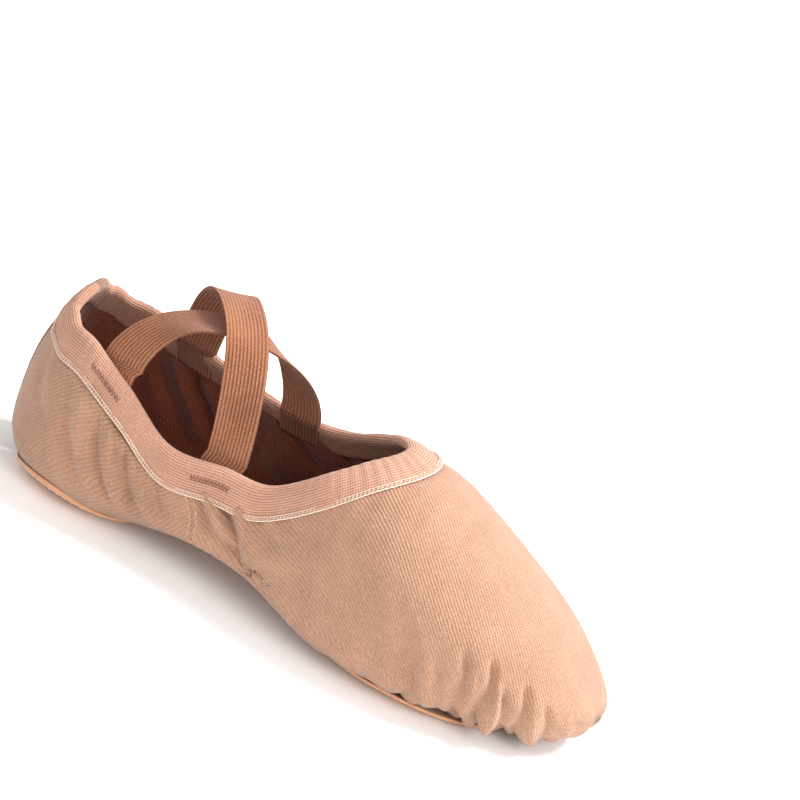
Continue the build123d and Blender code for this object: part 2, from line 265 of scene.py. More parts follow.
class Val:
    """A shader socket that takes part in plain arithmetic."""

    def __init__(self, sheet, socket):
        self.sheet, self.socket = sheet, socket

    def math(self, operation, *others):
        return self.sheet.node("ShaderNodeMath", {"operation": operation}, self, *others).out()

    def __add__(self, other):
        return self.math("ADD", other)

    def __sub__(self, other):
        return self.math("SUBTRACT", other)

    def __rsub__(self, other):
        return (self * -1) + other

    def __mul__(self, other):
        return self.math("MULTIPLY", other)

    __radd__ = __add__
    __rmul__ = __mul__

    def sin(self):
        return self.math("SINE")

    def abs(self):
        return self.math("ABSOLUTE")

    def clamp(self):
        return self.math("MAXIMUM", 0.0).math("MINIMUM", 1.0)


class Node:
    """A shader node, whose outputs are sockets that take part in arithmetic."""

    def __init__(self, sheet, node):
        self.sheet, self.node = sheet, node

    def out(self, name=0):
        return Val(self.sheet, self.node.outputs[name])


class Sheet:
    """One material: a Principled shader and the nodes that vary it."""

    def __init__(self, name, **constants):
        self.material = bpy.data.materials.new(name)
        self.material.use_nodes = True
        self.tree = self.material.node_tree
        self.shader = self.tree.nodes["Principled BSDF"]
        for key, value in constants.items():
            self.shader.inputs[key.replace("_", " ")].default_value = value

    def node(self, kind, settings=None, *inputs, **named):
        node = self.tree.nodes.new(kind)
        for key, value in (settings or {}).items():
            setattr(node, key, value)
        pairs = list(enumerate(inputs)) + [(key.replace("_", " "), v) for key, v in named.items()]
        for key, value in pairs:
            if isinstance(value, Val):
                self.tree.links.new(value.socket, node.inputs[key])
            else:
                node.inputs[key].default_value = value
        return Node(self, node)

    def cloth_mm(self):
        """Millimetres on the cloth, from the piece's own map."""
        flat = self.node("ShaderNodeUVMap", {"uv_map": "mm"}).out()
        parts = self.node("ShaderNodeSeparateXYZ", None, flat)
        return parts.out("X") * MAP_SIZE, parts.out("Y") * MAP_SIZE

    def noise(self, size, detail=3.0):
        """Unevenness from 0 to 1 in spots of a size in millimetres."""
        where = self.node("ShaderNodeTexCoord").out("Object")
        texture = self.node("ShaderNodeTexNoise", None, Vector=where, Scale=1000.0 / size, Detail=detail,
                            Roughness=0.55)
        return texture.out()

    def blend(self, share, a, b):
        """From colour a to colour b as the share goes from 0 to 1."""
        mix = self.tree.nodes.new("ShaderNodeMix")
        mix.data_type = "RGBA"
        for key, value in ((0, share), (6, a), (7, b)):
            if isinstance(value, Val):
                self.tree.links.new(value.socket, mix.inputs[key])
            else:
                mix.inputs[key].default_value = value if key == 0 else (*value, 1)
        return Val(self, mix.outputs[2])

    def set(self, name, value):
        self.tree.links.new(value.socket, self.shader.inputs[name])

    def bump(self, relief, depth_mm):
        bump = self.node("ShaderNodeBump", None, Strength=1.0, Distance=depth_mm / 1000, Height=relief)
        self.set("Normal", bump.out("Normal"))


def rgb(r, g, b):
    """Linear colour from an everyday 0-255 one."""
    return tuple(((c / 255 + 0.055) / 1.055) ** 2.4 if c > 10 else c / 3294 for c in (r, g, b))


RIB_PITCH = 1.25
YARN_PITCH = 0.8


def twill(name, angle, light, dark, depth=0.22):
    """Stretch canvas: diagonal ribs crossed by finer yarns, slightly mottled."""
    sheet = Sheet(name, Roughness=0.9, Sheen_Weight=0.25, Sheen_Roughness=0.5, Specular_IOR_Level=0.2)
    u, v = sheet.cloth_mm()
    wander = (sheet.noise(5.0, 3.0) - 0.5) * 4.5
    across = u * sin(radians(angle)) - v * cos(radians(angle))
    rib = (across * (2 * pi / RIB_PITCH) + wander).sin()
    along = u * cos(radians(angle)) + v * sin(radians(angle))
    yarn = (along * (2 * pi / YARN_PITCH) + rib * 1.2).sin()
    slub, fleck = sheet.noise(1.0, 3.0), sheet.noise(0.45, 2.0)
    patchy = sheet.noise(18.0, 3.0)
    relief = rib * (0.2 + slub * 0.5) + yarn * 0.22 + fleck * 0.7 + slub * 0.4
    tone = rib * 0.13 + yarn * 0.07 + (slub - 0.5) * 0.7 + (fleck - 0.5) * 0.9
    tone = (tone + (patchy - 0.5) * 0.6 + 0.62).clamp()
    sheet.set("Base Color", sheet.blend(tone, dark, light))
    sheet.bump(relief, depth)
    return sheet.material


TAN_LIGHT, TAN_DARK = rgb(184, 143, 117), rgb(124, 86, 66)
LINING_LIGHT, LINING_DARK = rgb(140, 72, 46), rgb(92, 42, 26)
vamp_canvas = twill("vamp canvas", -31, TAN_LIGHT, TAN_DARK)
lining = twill("lining canvas", 40, LINING_LIGHT, LINING_DARK, depth=0.25)

chance = np.random.default_rng(37)
WAVES = chance.uniform(-1, 1, (24, 3)) * np.array([1, 1, 1.3]), chance.uniform(0, 2 * pi, 24)


def crumple(points, size, seed=0):
    """Soft unevenness of worn cloth, about plus or minus one."""
    k, phase = WAVES
    k = np.roll(k, seed, 0)[:9]
    return np.sin(points @ k.T * (2 * pi / size) + phase[:9]).sum(-1) / 4.0


def creases(along, down, folds):
    """Soft folds in the cloth: each from one place to another, with a width and a height."""
    total = 0
    for (a0, d0), (a1, d1), width, rise in folds:
        long = np.hypot(a1 - a0, d1 - d0)
        run = ((along - a0) * (a1 - a0) + (down - d0) * (d1 - d0)) / long
        off = ((along - a0) * (d1 - d0) - (down - d0) * (a1 - a0)) / long
        off = off + 1.2 * np.sin(run / 5.0)
        taper = np.exp(-np.clip((run - long) / 6, 0, 9) ** 2) * np.exp(-np.clip(-run / 4, 0, 9) ** 2)
        spread = width * (0.8 + 0.4 * run / long).clip(0.5, 1.5)
        total = total + rise * taper * np.exp(-np.abs(off / spread) ** 1.7)
    return total


def panel(columns):
    """Stack columns into grids of points, cloth map and distances to both ends."""
    return tuple(np.array(part) for part in zip(*columns))


def side_mirror(first, second):
    """One run of columns: up one side, and back down the other from the shared end."""
    return first + second[-2::-1]


def vamp_columns(count, rows):
    halves = []
    for side, sign in ((1, -1), (2, 1)):
        half = []
        for i in range(count + 1):
            share = i / count
            outline = around(SIDE_SEAM_LOW[side], LENGTH, share)
            opening = facing(outline) * (1 - (1 - share) ** 3) + SIDE_SEAM_TOP * (1 - share) ** 3
            angle, inset = sign * SEAM_ANGLE * (1 - share), 3 + 4 * min(4 * share, 1)
            end = np.array(oval(FOREFOOT_PATCH, angle, inset))
            bend = [v * (1 - share) ** 2 for v in SEAM_BEND[side]]
            half.append(column(outline, opening, side, end, bend, count=rows))
        halves.append(half)
    return side_mirror(*halves)


def oval(patch, angle, inset=0.0):
    """A plan point on an oval patch, an inset in from its edge."""
    station, y, long, wide = patch
    return station + (long - inset) * cos(angle), y + (wide - inset) * sin(angle)


SEAM_DIP = 0.5   # how far a seam sinks into the canvas
EDGE_DIP = 0.5   # how far the binding presses the canvas in
FLOOR_GAP = 0.9  # lowest level of the canvas, held up by the suede patches


def deepest(shift, reach=3):
    """The lowest shift near each point, so that the lining stays behind every fold."""
    nu, nv = shift.shape
    p = np.pad(shift, reach, mode="edge")
    p = np.min([p[k:k + nu] for k in range(2 * reach + 1)], 0)
    return np.min([p[:, k:k + nv] for k in range(2 * reach + 1)], 0)


def dip(width, spacing):
    """1 at a panel's first and last column, falling to 0 over a width in millimetres."""
    run = np.cumsum(spacing)
    return np.exp(-(np.minimum(run, run[-1] - run) / width) ** 2)


points, uv, reach = panel(vamp_columns(150, 150))
n = normals(points)
spacing = np.r_[0, np.linalg.norm(np.diff(points[:, 60], axis=0), axis=1)]
seam = dip(1.6, spacing)[:, None]
from_top, from_patch = reach[..., 0], reach[..., 1]
angle = SEAM_ANGLE * np.linspace(-1, 1, len(points))[:, None]
# gathers fan out from the toe end of the patch and fade on the way up the toe
turns = angle * 35 / 9.4 + 0.35 * np.sin(angle * 4.1 + 1) + 0.12 * np.sin(angle * 13)
sharp = 0.6 + 1.6 * np.clip(from_patch / 36, 0, 1)
lobes = np.abs(np.sin(turns * pi + 0.02 * from_patch)) ** sharp
deep = 2.3 + 0.9 * np.sin(angle * 5.3 + 1) + 0.5 * np.sin(angle * 11.7)
fan = np.clip((2.05 - np.abs(angle)) / 0.5, 0, 1)
reach_up = np.where(from_patch < 14, 0.45 + 0.55 * np.clip((from_patch - 4) / 8, 0, 1), 1)
reach_up = reach_up * np.exp(-(np.clip(from_patch - 13, 0, 99) / (17 + 5 * (angle < 0))) ** 2)
gather = -deep * (1 - lobes) * reach_up * fan
# folds run from one (along, down) place on the cloth to another, then width and height
outer_folds = [
    ((82, 12), (91, 33), 2.0, -2.0), ((88, 12), (97, 31), 2.2, 1.5), ((94, 12), (104, 31), 1.9, -2.1),
    ((101, 12), (110, 29), 2.4, 1.3), ((107, 12), (117, 27), 2.2, -1.2), ((116, 12), (127, 24), 2.6, -0.6),
    ((90, 31), (112, 42), 2.8, -1.7), ((96, 26), (122, 38), 3.0, 1.0), ((80, 34), (98, 47), 2.6, 1.2),
    ((73, 12), (80, 26), 1.8, -1.0), ((128, 12), (140, 26), 3.0, -0.4)]
inner_folds = [
    ((84, 12), (92, 31), 2.2, -1.4), ((92, 12), (101, 29), 2.4, 1.0), ((100, 12), (110, 30), 2.2, -1.4),
    ((109, 12), (119, 28), 2.6, 0.8), ((88, 32), (110, 42), 3.0, -1.3)]
side_folds = np.where(uv[..., 1] < 0, creases(uv[..., 0], from_top, outer_folds),
                      creases(uv[..., 0], from_top, inner_folds))
fade = np.clip((points[..., 2] - 17) / 5, 0, 1) * (1 - np.exp(-((from_top - EDGE) / 2.5) ** 2))
# the gathers run a little way up the outer side of the toe as deep puckers
toe_folds = creases(uv[..., 0], from_patch, [
    ((190, 30), (193, 12), 1.9, -1.6), ((197, 42), (200, 11), 2.1, -2.4), ((201, 36), (203, 12), 1.6, 1.3),
    ((206, 46), (207, 10), 1.9, -3.0), ((210, 38), (211, 12), 1.7, 1.5), ((213, 36), (214, 10), 1.7, -2.6),
    ((219, 44), (219, 10), 1.9, -2.4), ((223, 34), (222, 12), 1.8, 1.4), ((227, 40), (225, 8), 2.0, -2.2),
    ((232, 30), (229, 8), 2.2, -1.6), ((182, 24), (186, 12), 1.8, -1.2)]) * np.clip(-angle / 0.5, 0, 1)
# the elastic draws the canvas into small tucks below the binding
tucks = np.sin(uv[..., 0] / 8.5 * 2 * pi + np.sin(uv[..., 0] / 13)) * np.exp(-(from_top - EDGE) / 14)
near_side = np.clip((130 - uv[..., 0]) / 30, 0, 1)
calm = 1 - dip(5.0, spacing)[:, None]
wrinkles = fade * (tucks * (0.22 + 0.4 * near_side) + 1.35 * side_folds) + toe_folds
shift = gather + calm * (wrinkles + 0.4 * crumple(points, 46))
shift -= SEAM_DIP * seam
shift -= EDGE_DIP * np.exp(-((from_top - EDGE) / 1.2) ** 2)
shift -= 1.2 * np.exp(-from_patch / 2.5)
body_grid = points + n * shift[..., None]
body_grid[..., 2] = np.maximum(body_grid[..., 2], FLOOR_GAP)
vamp_grid = body_grid, n
inside = points - n * (CANVAS - deepest(shift))[..., None]
vamp = cloth("vamp_panel", body_grid, inside, uv, [vamp_canvas, lining])
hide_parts("vamp")

# ---- 2. Quarters -------------------------------------------------------------
# Two rear side panels of the same canvas, cut on another grain.  Each runs from the
# heel elastic to the slanted side seam and sends a tongue forward under the arch,
# where the two meet in the centre seam.
HEEL_PATCH = (37.8, 1.0, 28.8, 26.1)
CENTRE_SEAM_Y = -4.6
quarter_canvas = {1: twill("outer quarter canvas", 48, TAN_LIGHT, TAN_DARK),
                  2: twill("inner quarter canvas", 48, TAN_LIGHT, TAN_DARK)}


def quarter_columns(side, count, rows):
    sign = -1 if side == 1 else 1
    columns = []
    for i in range(count + 1):
        share = i / count
        outline = around(2.2, SIDE_SEAM_LOW[side], share)
        opening = facing(outline) * (1 - share**3) + SIDE_SEAM_TOP * share**3
        centre = np.array([FOREFOOT_PATCH[0] - FOREFOOT_PATCH[2] + 4, CENTRE_SEAM_Y])
        rear = np.array(oval(HEEL_PATCH, pi * 0.1 * sign, 6))
        if share < 0.45:
            end = np.array(oval(HEEL_PATCH, pi * (1 - 2 * share) * sign, 6))
        elif share < 0.85:
            t = (share - 0.45) / 0.4
            end = rear + (centre - rear) * np.array([t, 1 - (1 - min(14 * t, 1)) ** 2])
        else:
            u = (share - 0.85) / 0.15
            end = centre * (1 - u) + np.array(oval(FOREFOOT_PATCH, sign * SEAM_ANGLE, 3)) * u
        bend = [v * share**2 for v in SEAM_BEND[side]]
        columns.append(column(outline, opening, side, end, bend, count=rows))
    return columns


quarter_grid = {}
for side, name in ((1, "quarter_outer"), (2, "quarter_inner")):
    points, uv, reach = panel(quarter_columns(side, 130, 120))
    points, uv, reach = (a if side == 1 else a[::-1] for a in (points, uv, reach))
    n = normals(points)
    spacing = np.r_[0, np.linalg.norm(np.diff(points[:, 50], axis=0), axis=1)]
    seam = dip(1.6, spacing)[:, None]
    from_top, from_end = reach[..., 0], reach[..., 1]
    tucks = np.sin(uv[..., 0] / 9.5 * 2 * pi + 1.3 * np.sin(uv[..., 0] / 17))
    tucks *= np.exp(-(from_top - EDGE) / 16)
    lower = np.clip((uv[..., 0] - 20) / 40, 0, 1)
    # long soft folds slant down from the binding towards the arch
    folds = creases(uv[..., 0], from_top, [
        ((56, 12), (71, 42), 2.6, -1.8), ((49, 13), (64, 40), 2.8, 1.3), ((42, 14), (58, 44), 2.4, -1.4),
        ((64, 12), (75, 34), 2.2, 1.5), ((70, 12), (79, 36), 2.0, -1.6), ((34, 16), (50, 46), 3.0, 1.0),
        ((28, 18), (43, 46), 3.2, -0.9), ((12, 18), (26, 42), 3.4, -0.6), ((58, 36), (80, 50), 2.8, -1.4)])
    calm = (1 - dip(5.0, spacing)[:, None]) * (1 - np.exp(-(from_end / 5) ** 2))
    fade = np.clip((points[..., 2] - 14) / 6, 0, 1) * (1 - np.exp(-((from_top - EDGE) / 2.5) ** 2))
    wrinkles = fade * (tucks * (0.15 + 0.35 * lower) + 1.5 * folds)
    shift = calm * (wrinkles + 0.55 * crumple(points, 38, 5)) - SEAM_DIP * seam
    shift -= EDGE_DIP * np.exp(-((from_top - EDGE) / 1.2) ** 2)
    shift -= 0.5 * np.exp(-(from_end / 1.5) ** 2)
    body_grid = points + n * shift[..., None]
    body_grid[..., 2] = np.maximum(body_grid[..., 2], FLOOR_GAP)
    quarter_grid[side] = body_grid, n
    inside = points - n * (CANVAS - shift[..., None] * 0.9)
    quarter = cloth(name + "_panel", body_grid, inside, uv, [quarter_canvas[side], lining])
    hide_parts(name)

# ---- 3. Heel elastic -----------------------------------------------------------
# A strip of ribbed elastic set between the two quarters up the back of the heel.
# It is darker than the canvas and its ribs run up and down.
HEEL_RIB = 1.7


def webbing(name, light, dark, rib_axis, pitch, depth):
    """Woven elastic: even ribs with a fine knit between them, painted lighter on the rib tops and darker in the
    grooves as painted light and shade.
    """
    sheet = Sheet(name, Roughness=0.85, Sheen_Weight=0.2, Sheen_Roughness=0.5, Specular_IOR_Level=0.2)
    u, v = sheet.cloth_mm()
    ribs, along_rib = (u, v) if rib_axis == "u" else (v, u)
    ridge = ((ribs * (pi / pitch)).sin()).abs()
    knit = (along_rib * (2 * pi / 0.75) + ridge * 2.0).sin()
    fuzz = sheet.noise(0.9, 2.0)
    # painted light and shade: the ridge term brightens the rib tops and darkens the grooves between them; the
    # fuzz and the broad noise are the yarn's own uneven colour
    tone = (ridge * 0.6 + knit * 0.14 + (fuzz - 0.5) * 0.5 + (sheet.noise(14.0) - 0.5) * 0.5 + 0.12).clamp()
    sheet.set("Base Color", sheet.blend(tone, dark, light))
    sheet.bump(ridge + knit * 0.18 + fuzz * 0.3, depth)
    return sheet.material


heel_webbing = webbing("heel elastic webbing", rgb(160, 106, 78), rgb(88, 50, 34), "u", HEEL_RIB, 0.5)
HEEL_ROWS = 70
halves = []
for side in (2, 1):
    half = []
    for outline in np.linspace(sqrt(2.2), 0.1, 22) ** 2:
        end = np.array([9.5, 7.0 + (-5 if side == 1 else 5) * sqrt(outline / 1.7)])
        half.append(column(outline, facing(outline), side, end, count=HEEL_ROWS))
    halves.append(half)
points, uv, reach = panel(halves[0] + halves[1][::-1])
width = np.cumsum(np.r_[0, np.linalg.norm(np.diff(points[:, 30], axis=0), axis=1)])
uv = np.stack([np.repeat(width[:, None], HEEL_ROWS, 1), reach[..., 0]], -1)
n = normals(points)
seam = np.exp(-(np.minimum(width, width[-1] - width) / 1.3) ** 2)[:, None]
shift = 0.15 * np.abs(np.sin(uv[..., 0] * pi / HEEL_RIB)) - SEAM_DIP * seam
strip, inside = points + n * shift[..., None], points - n * CANVAS
heel_strip = cloth("heel_elastic_strip", strip, inside, uv, [heel_webbing, lining])
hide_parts("heel_elastic")

# ---- 4. Elastic binding ----------------------------------------------------------
# A folded elastic band, pinker than the canvas, sewn all round the opening.  It rolls
# over the edge, is slightly gathered by its own stretch, and lines the rim inside.
binding_knit = webbing("binding knit", rgb(208, 160, 136), rgb(156, 108, 88), "v", 0.95, 0.25)
# the folded section: distance down the wall, height above the canvas face
SECTION = np.array([
    (12.6, -0.2), (12.55, 0.6), (12.1, 0.95), (11.2, 0.95), (10.2, 0.8), (9.0, 1.1), (7.0, 1.35),
    (5.0, 1.5), (3.2, 1.6), (1.8, 1.5), (0.6, 1.1), (-0.15, 0.4), (-0.45, -0.5), (-0.15, -1.4),
    (0.6, -2.1), (1.8, -2.5), (4.0, -2.5), (7.0, -2.4), (10.0, -2.3), (12.0, -2.2), (12.55, -1.9),
    (12.6, -1.0)])
WALL_DEPTH = 13.5  # how far down the wall the binding's own grid reaches


def loop_columns(stop, count=260, rows=28):
    halves = []
    for side in (1, 2):
        stations = [around(0.03, LENGTH, k / count) for k in range(count + 1)]
        halves.append([column(s, facing(s), side, start=0.0, stop=stop, count=rows) for s in stations])
    return side_mirror(*halves)


wall = panel(loop_columns(WALL_DEPTH))[0]
wall_normal = normals(wall, wrap=True)
loop_arc = np.r_[0, np.cumsum(np.linalg.norm(np.diff(wall[:, 0], axis=0), axis=1))]


def on_wall(distance, lift):
    """Points over the binding at a distance from its rolled edge and a lift off the wall."""
    spot = np.clip(distance / WALL_DEPTH, 0, 1) * (wall.shape[1] - 1)
    k = int(min(spot, wall.shape[1] - 2))
    point = wall[:, k] + (wall[:, k + 1] - wall[:, k]) * (spot - k)
    above = (wall[:, 0] - wall[:, 2]) / (WALL_DEPTH * 2 / (wall.shape[1] - 1))
    return point + wall_normal[:, k] * lift + above * max(-distance, 0)


ruche = np.sin(loop_arc / 3.3 * 2 * pi + 2.2 * np.sin(loop_arc / 9)) * (0.6 + 0.4 * np.sin(loop_arc / 21))
sway = np.sin(loop_arc / 27 * 2 * pi + 1) + 0.6 * np.sin(loop_arc / 15 * 2 * pi)
rows = []
for distance, lift in SECTION:
    outside = np.clip((lift + 0.5) / 1.5, 0, 1)
    hold = min(max((SECTION[0, 0] - distance) / 3, 0.3), 1)
    wave = 0.16 * ruche * hold * (0.4 + 0.6 * outside) + 0.18 * sway * outside
    rows.append(on_wall(distance, lift) + wall_normal[:, 4] * (wave * np.sign(lift + 0.5))[:, None])
ring = np.stack(rows + rows[:1], 1)
profile_arc = np.r_[0, np.cumsum(np.hypot(*np.diff(np.r_[SECTION, SECTION[:1]], axis=0).T))]
ring_uv = np.stack(np.meshgrid(loop_arc, profile_arc, indexing="ij"), -1)
count, around_it = ring.shape[:2]
faces = []
for i in range(count):
    here, after = i * around_it, (i + 1) % count * around_it
    faces += [(after + j, after + j + 1, here + j + 1, here + j) for j in range(around_it - 1)]
binding = finish_piece("topline_binding_band", ring.reshape(-1, 3), faces, [binding_knit],
                       uvs=ring_uv.reshape(-1, 2))
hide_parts("topline_binding")

# ---- 5. Overlock edge ------------------------------------------------------------
# Pale thread serged over the lower edge of the binding: two running threads with
# short slanting stitches between them.
def plain(name, colour):
    """Sewing thread: one colour with a little variation along it."""
    sheet = Sheet(name, Roughness=0.6, Sheen_Weight=0.2, Specular_IOR_Level=0.3)
    dark = tuple(c * 0.65 for c in colour)
    sheet.set("Base Color", sheet.blend(sheet.noise(1.4, 2.0), dark, colour))
    return sheet.material


def tube(verts, faces, line, up, thick, sides=6, closed=False):
    """Adds a round thread along a line to lists of vertices and faces."""
    line, up = np.asarray(line, float), np.asarray(up, float)
    along = np.roll(line, -1, 0) - np.roll(line, 1, 0) if closed else np.gradient(line, axis=0)
    across = np.cross(along, up)
    across /= np.maximum(np.linalg.norm(across, axis=1, keepdims=True), 1e-9)
    lift = np.cross(across, along)
    lift /= np.maximum(np.linalg.norm(lift, axis=1, keepdims=True), 1e-9)
    thick = np.broadcast_to(thick, len(line))[:, None]
    base = len(verts)
    turns = np.arange(sides) / sides * 2 * pi
    rings = [line + (across * cos(a) + lift * sin(a)) * thick for a in turns]
    verts.extend(np.stack(rings, 1).reshape(-1, 3))
    total = len(line)
    for m in range(total if closed else total - 1):
        for k in range(sides):
            a, b = base + m * sides + k, base + m * sides + (k + 1) % sides
            c, d = base + (m + 1) % total * sides + (k + 1) % sides, base + (m + 1) % total * sides + k
            faces.append((a, b, c, d))
    if not closed:
        faces.append(tuple(base + k for k in reversed(range(sides))))
        faces.append(tuple(base + (total - 1) * sides + k for k in range(sides)))


def resampled(path, spots):
    """Rows of a path read at distances along it."""
    run = np.r_[0, np.cumsum(np.linalg.norm(np.diff(path[:, :3], axis=0), axis=1))]
    return np.stack([np.interp(spots, run, v) for v in path.T], -1)


def length_of(path):
    return float(np.linalg.norm(np.diff(path[:, :3], axis=0), axis=1).sum())


pale_thread = plain("pale overlock thread", rgb(236, 214, 194))
LOW_ROW, TOP_ROW, MIDDLE_ROW = 24, 4, 12  # rows of the wall grid, counted from the rolled edge
verts, faces = [], []
for distance, lift, thick in ((12.75, 0.7, 0.25), (11.3, 1.0, 0.13)):
    ripple = 0.1 * np.sin(loop_arc / 1.6 * 2 * pi)
    line = on_wall(distance, lift) + wall_normal[:, TOP_ROW] * ripple[:, None]
    tube(verts, faces, line, wall_normal[:, LOW_ROW], thick, closed=True)


def pick(grid, where):
    return np.array([np.interp(where, loop_arc, v) for v in grid.T])


low, high = on_wall(12.8, 0.7), on_wall(11.3, 1.05)
for spot in np.arange(0.5, loop_arc[-1] - 1, 1.1):
    a, b, up = pick(low, spot), pick(high, spot + 0.5), pick(wall_normal[:, LOW_ROW], spot)
    middle = (a + b) / 2 + up * 0.2
    tube(verts, faces, [a - up * 0.2, middle, b - up * 0.15], [up] * 3, 0.13, sides=5)
overlock = finish_piece("binding_overlock_thread", verts, faces, [pale_thread])
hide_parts("binding_overlock")

# ---- 6. Topstitched seams --------------------------------------------------------
# Twin rows of tan lockstitch along the side seams and the centre seam under the arch,
# one row on each side of the joined edge.
def stitch_row(verts, faces, path, normal, long=2.3, gap=0.9, thick=0.26):
    """Adds a row of stitches: short arched threads that dive in at both ends."""
    both = np.c_[path, normal]
    for k in range(int((length_of(path) - long) / (long + gap)) + 1):
        part = resampled(both, k * (long + gap) + np.linspace(0, long, 7))
        line, up = part[:, :3], part[:, 3:]
        arch = np.sin(np.linspace(0, pi, 7))
        tube(verts, faces, line + up * (arch * 1.3 - 0.55)[:, None] * thick, up, thick * (0.5 + 0.5 * arch))


def beside(grid, normal, distance, last=False):
    """The line on a panel at a distance from its first or last column."""
    if last:
        grid, normal = grid[::-1], normal[::-1]
    step = np.linalg.norm(np.diff(grid, axis=0), axis=2)
    run = np.r_[np.zeros((1, grid.shape[1])), np.cumsum(step, 0)]
    rows = [j for j in range(grid.shape[1]) if run[-1, j] > 4 * distance]
    path = [[np.interp(distance, run[:, j], grid[:, j, k]) for k in range(3)] for j in rows]
    up = [[np.interp(distance, run[:, j], normal[:, j, k]) for k in range(3)] for j in rows]
    return np.array(path), np.array(up)


tan_thread = plain("tan topstitch thread", rgb(220, 168, 130))
FROM_SEAM = 1.5
verts, faces = [], []
for side in (1, 2):
    grid, n = quarter_grid[side]
    stitch_row(verts, faces, *beside(grid, n, FROM_SEAM, last=side == 1))
    tongue = slice(70, None) if side == 1 else slice(None, 60)
    seam_row = np.swapaxes(grid[tongue], 0, 1), np.swapaxes(n[tongue], 0, 1)
    stitch_row(verts, faces, *beside(*seam_row, FROM_SEAM, last=True))
    stitch_row(verts, faces, *beside(*vamp_grid, FROM_SEAM, last=side == 2))
topstitch = finish_piece("seam_topstitch", verts, faces, [tan_thread])

# ---- 7. Sole patches -------------------------------------------------------------
# Two oval patches of fine suede, lighter than the canvas, one under the ball of the foot
# and one under the heel.  Each is sewn on with a row of lockstitch near its edge, in
# cream thread; the shade in the holes between the stitches is painted as short dark threads.
SUEDE = 1.2
STITCH_INSET = 2.5
STITCH_STEP = 3.3


def suede(name, light, dark, grain=1.0):
    """Napped suede: fine grain over soft blotches."""
    sheet = Sheet(name, Roughness=0.95, Sheen_Weight=0.35, Sheen_Roughness=0.45, Specular_IOR_Level=0.15)
    fine, middle, broad = sheet.noise(0.55, 3.0), sheet.noise(3.0, 3.0), sheet.noise(16.0, 2.0)
    tone = (fine - 0.5) * (1.1 * grain) + (middle - 0.5) * 0.6 + (broad - 0.5) * 0.7 + 0.55
    sheet.set("Base Color", sheet.blend(tone.clamp(), dark, light))
    sheet.bump(fine * 0.6 + middle * 0.4, 0.14)
    return sheet.material


patch_suede = suede("patch suede", rgb(222, 166, 126), rgb(186, 130, 94))
cream_thread = plain("cream patch thread", rgb(244, 224, 192))
# painted shade: this dark brown thread stands in for the shade in the stitch holes
painted_hole_shade = plain("stitch hole painted shade", rgb(120, 78, 52))


def oval_rings(patch, insets, level, turns=160):
    """Points on rings in from an oval's edge, at heights given by a level function."""
    grid = []
    for inset in insets:
        ring = [oval(patch, 2 * pi * k / turns, inset) for k in range(turns)]
        stations, ys = np.array(ring).T
        z = level(stations, ys, inset)
        grid.append(np.stack([stations - LENGTH / 2, ys, z], -1))
    return np.stack(grid, 1)


def oval_piece(name, patch, insets, lower, upper, material):
    """A closed oval pad between two level functions."""
    low, high = oval_rings(patch, insets, lower), oval_rings(patch, insets, upper)
    return cloth(name, low[::-1], high[::-1], low[::-1, :, :2], [material], wrap=True)


for patch, name in ((FOREFOOT_PATCH, "forefoot_patch"), (HEEL_PATCH, "heel_patch")):
    def lower(s, y, inset):
        edge = 0.75 * (1 - np.sqrt(1 - np.clip(1 - inset / 0.9, 0, 1) ** 2))
        groove = 0.45 * np.exp(-((inset - STITCH_INSET) / 0.45) ** 2)
        return np.maximum(height(s, y, False) - SUEDE - 0.25, 0.02) + edge + groove

    def upper(s, y, inset):
        return np.maximum(height(s, y, False), 1.05) - 0.1

    edge_insets, field_insets = np.linspace(1.5, 3.5, 13), np.linspace(4.5, min(patch[2:]) - 0.05, 26)
    insets = np.r_[0, 0.1, 0.25, 0.5, 0.9, edge_insets, field_insets]
    piece = oval_piece(name + "_suede", patch, insets, lower, upper, patch_suede)
    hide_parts(name)
    turns = np.linspace(0, 2 * pi, 400)
    stations, ys = np.array([oval(patch, a, STITCH_INSET) for a in turns]).T
    path = np.stack([stations - LENGTH / 2, ys, lower(stations, ys, STITCH_INSET) - 0.05], -1)
    down = np.tile([0.0, 0.0, -1.0], (len(turns), 1))
    step = length_of(path) / round(length_of(path) / STITCH_STEP)
    # the second row is painted shade: short dark threads fill the gaps between the cream stitches, where the
    # holes are
    for part, material, start, share, thick in (("stitch", cream_thread, 0, 0.62, 0.34),
                                                ("stitch_hole_shade", painted_hole_shade, 0.64, 0.34, 0.2)):
        verts, faces = [], []
        spots = step * start + np.linspace(0, length_of(path), len(turns))
        moved = resampled(np.r_[path, path[1:40]], spots)
        stitch_row(verts, faces, moved, down, step * share, step - step * share, thick)
        sewn = finish_piece(f"{name}_{part}", verts, faces, [material])
        if part == "stitch":
            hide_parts(name + "_stitch")

# ---- 8. Insole pads --------------------------------------------------------------
# Two thin padded pads of brown suede glued inside over the patches, quilted in rows.
insole_suede = suede("insole suede", rgb(142, 86, 58), rgb(104, 58, 38), 0.6)


def over_gathers(station):
    """The forefoot pad's front end lies on top of the gathered canvas."""
    return 2.8 * np.clip((station - 196) / 10, 0, 1)


INSOLES = {"insole_forefoot": (174.5, -1.0, 41.0, 31.0), "insole_heel": (38.0, 4.0, 29.0, 26.0)}
for name, patch in INSOLES.items():
    def lower(s, y, inset):
        return height(s, y, False) + CANVAS + 0.3 + over_gathers(s)

    def upper(s, y, inset):
        edge = 1.6 * (1 - np.sqrt(1 - np.clip(1 - inset / 2.0, 0, 1) ** 2))
        quilt = 0.55 * np.exp(-(((y + 0.35 * s) % 7.0 - 3.5) / 0.8) ** 2) * (inset > 1)
        return height(s, y, False) + CANVAS + 2.7 - edge - quilt + over_gathers(s)

    insets = np.r_[0, 0.3, 0.8, 1.4, np.linspace(2, min(patch[2:]) - 0.05, 60)]
    pad = oval_piece(name + "_pad", patch, insets, lower, upper, insole_suede)
    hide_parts(name)
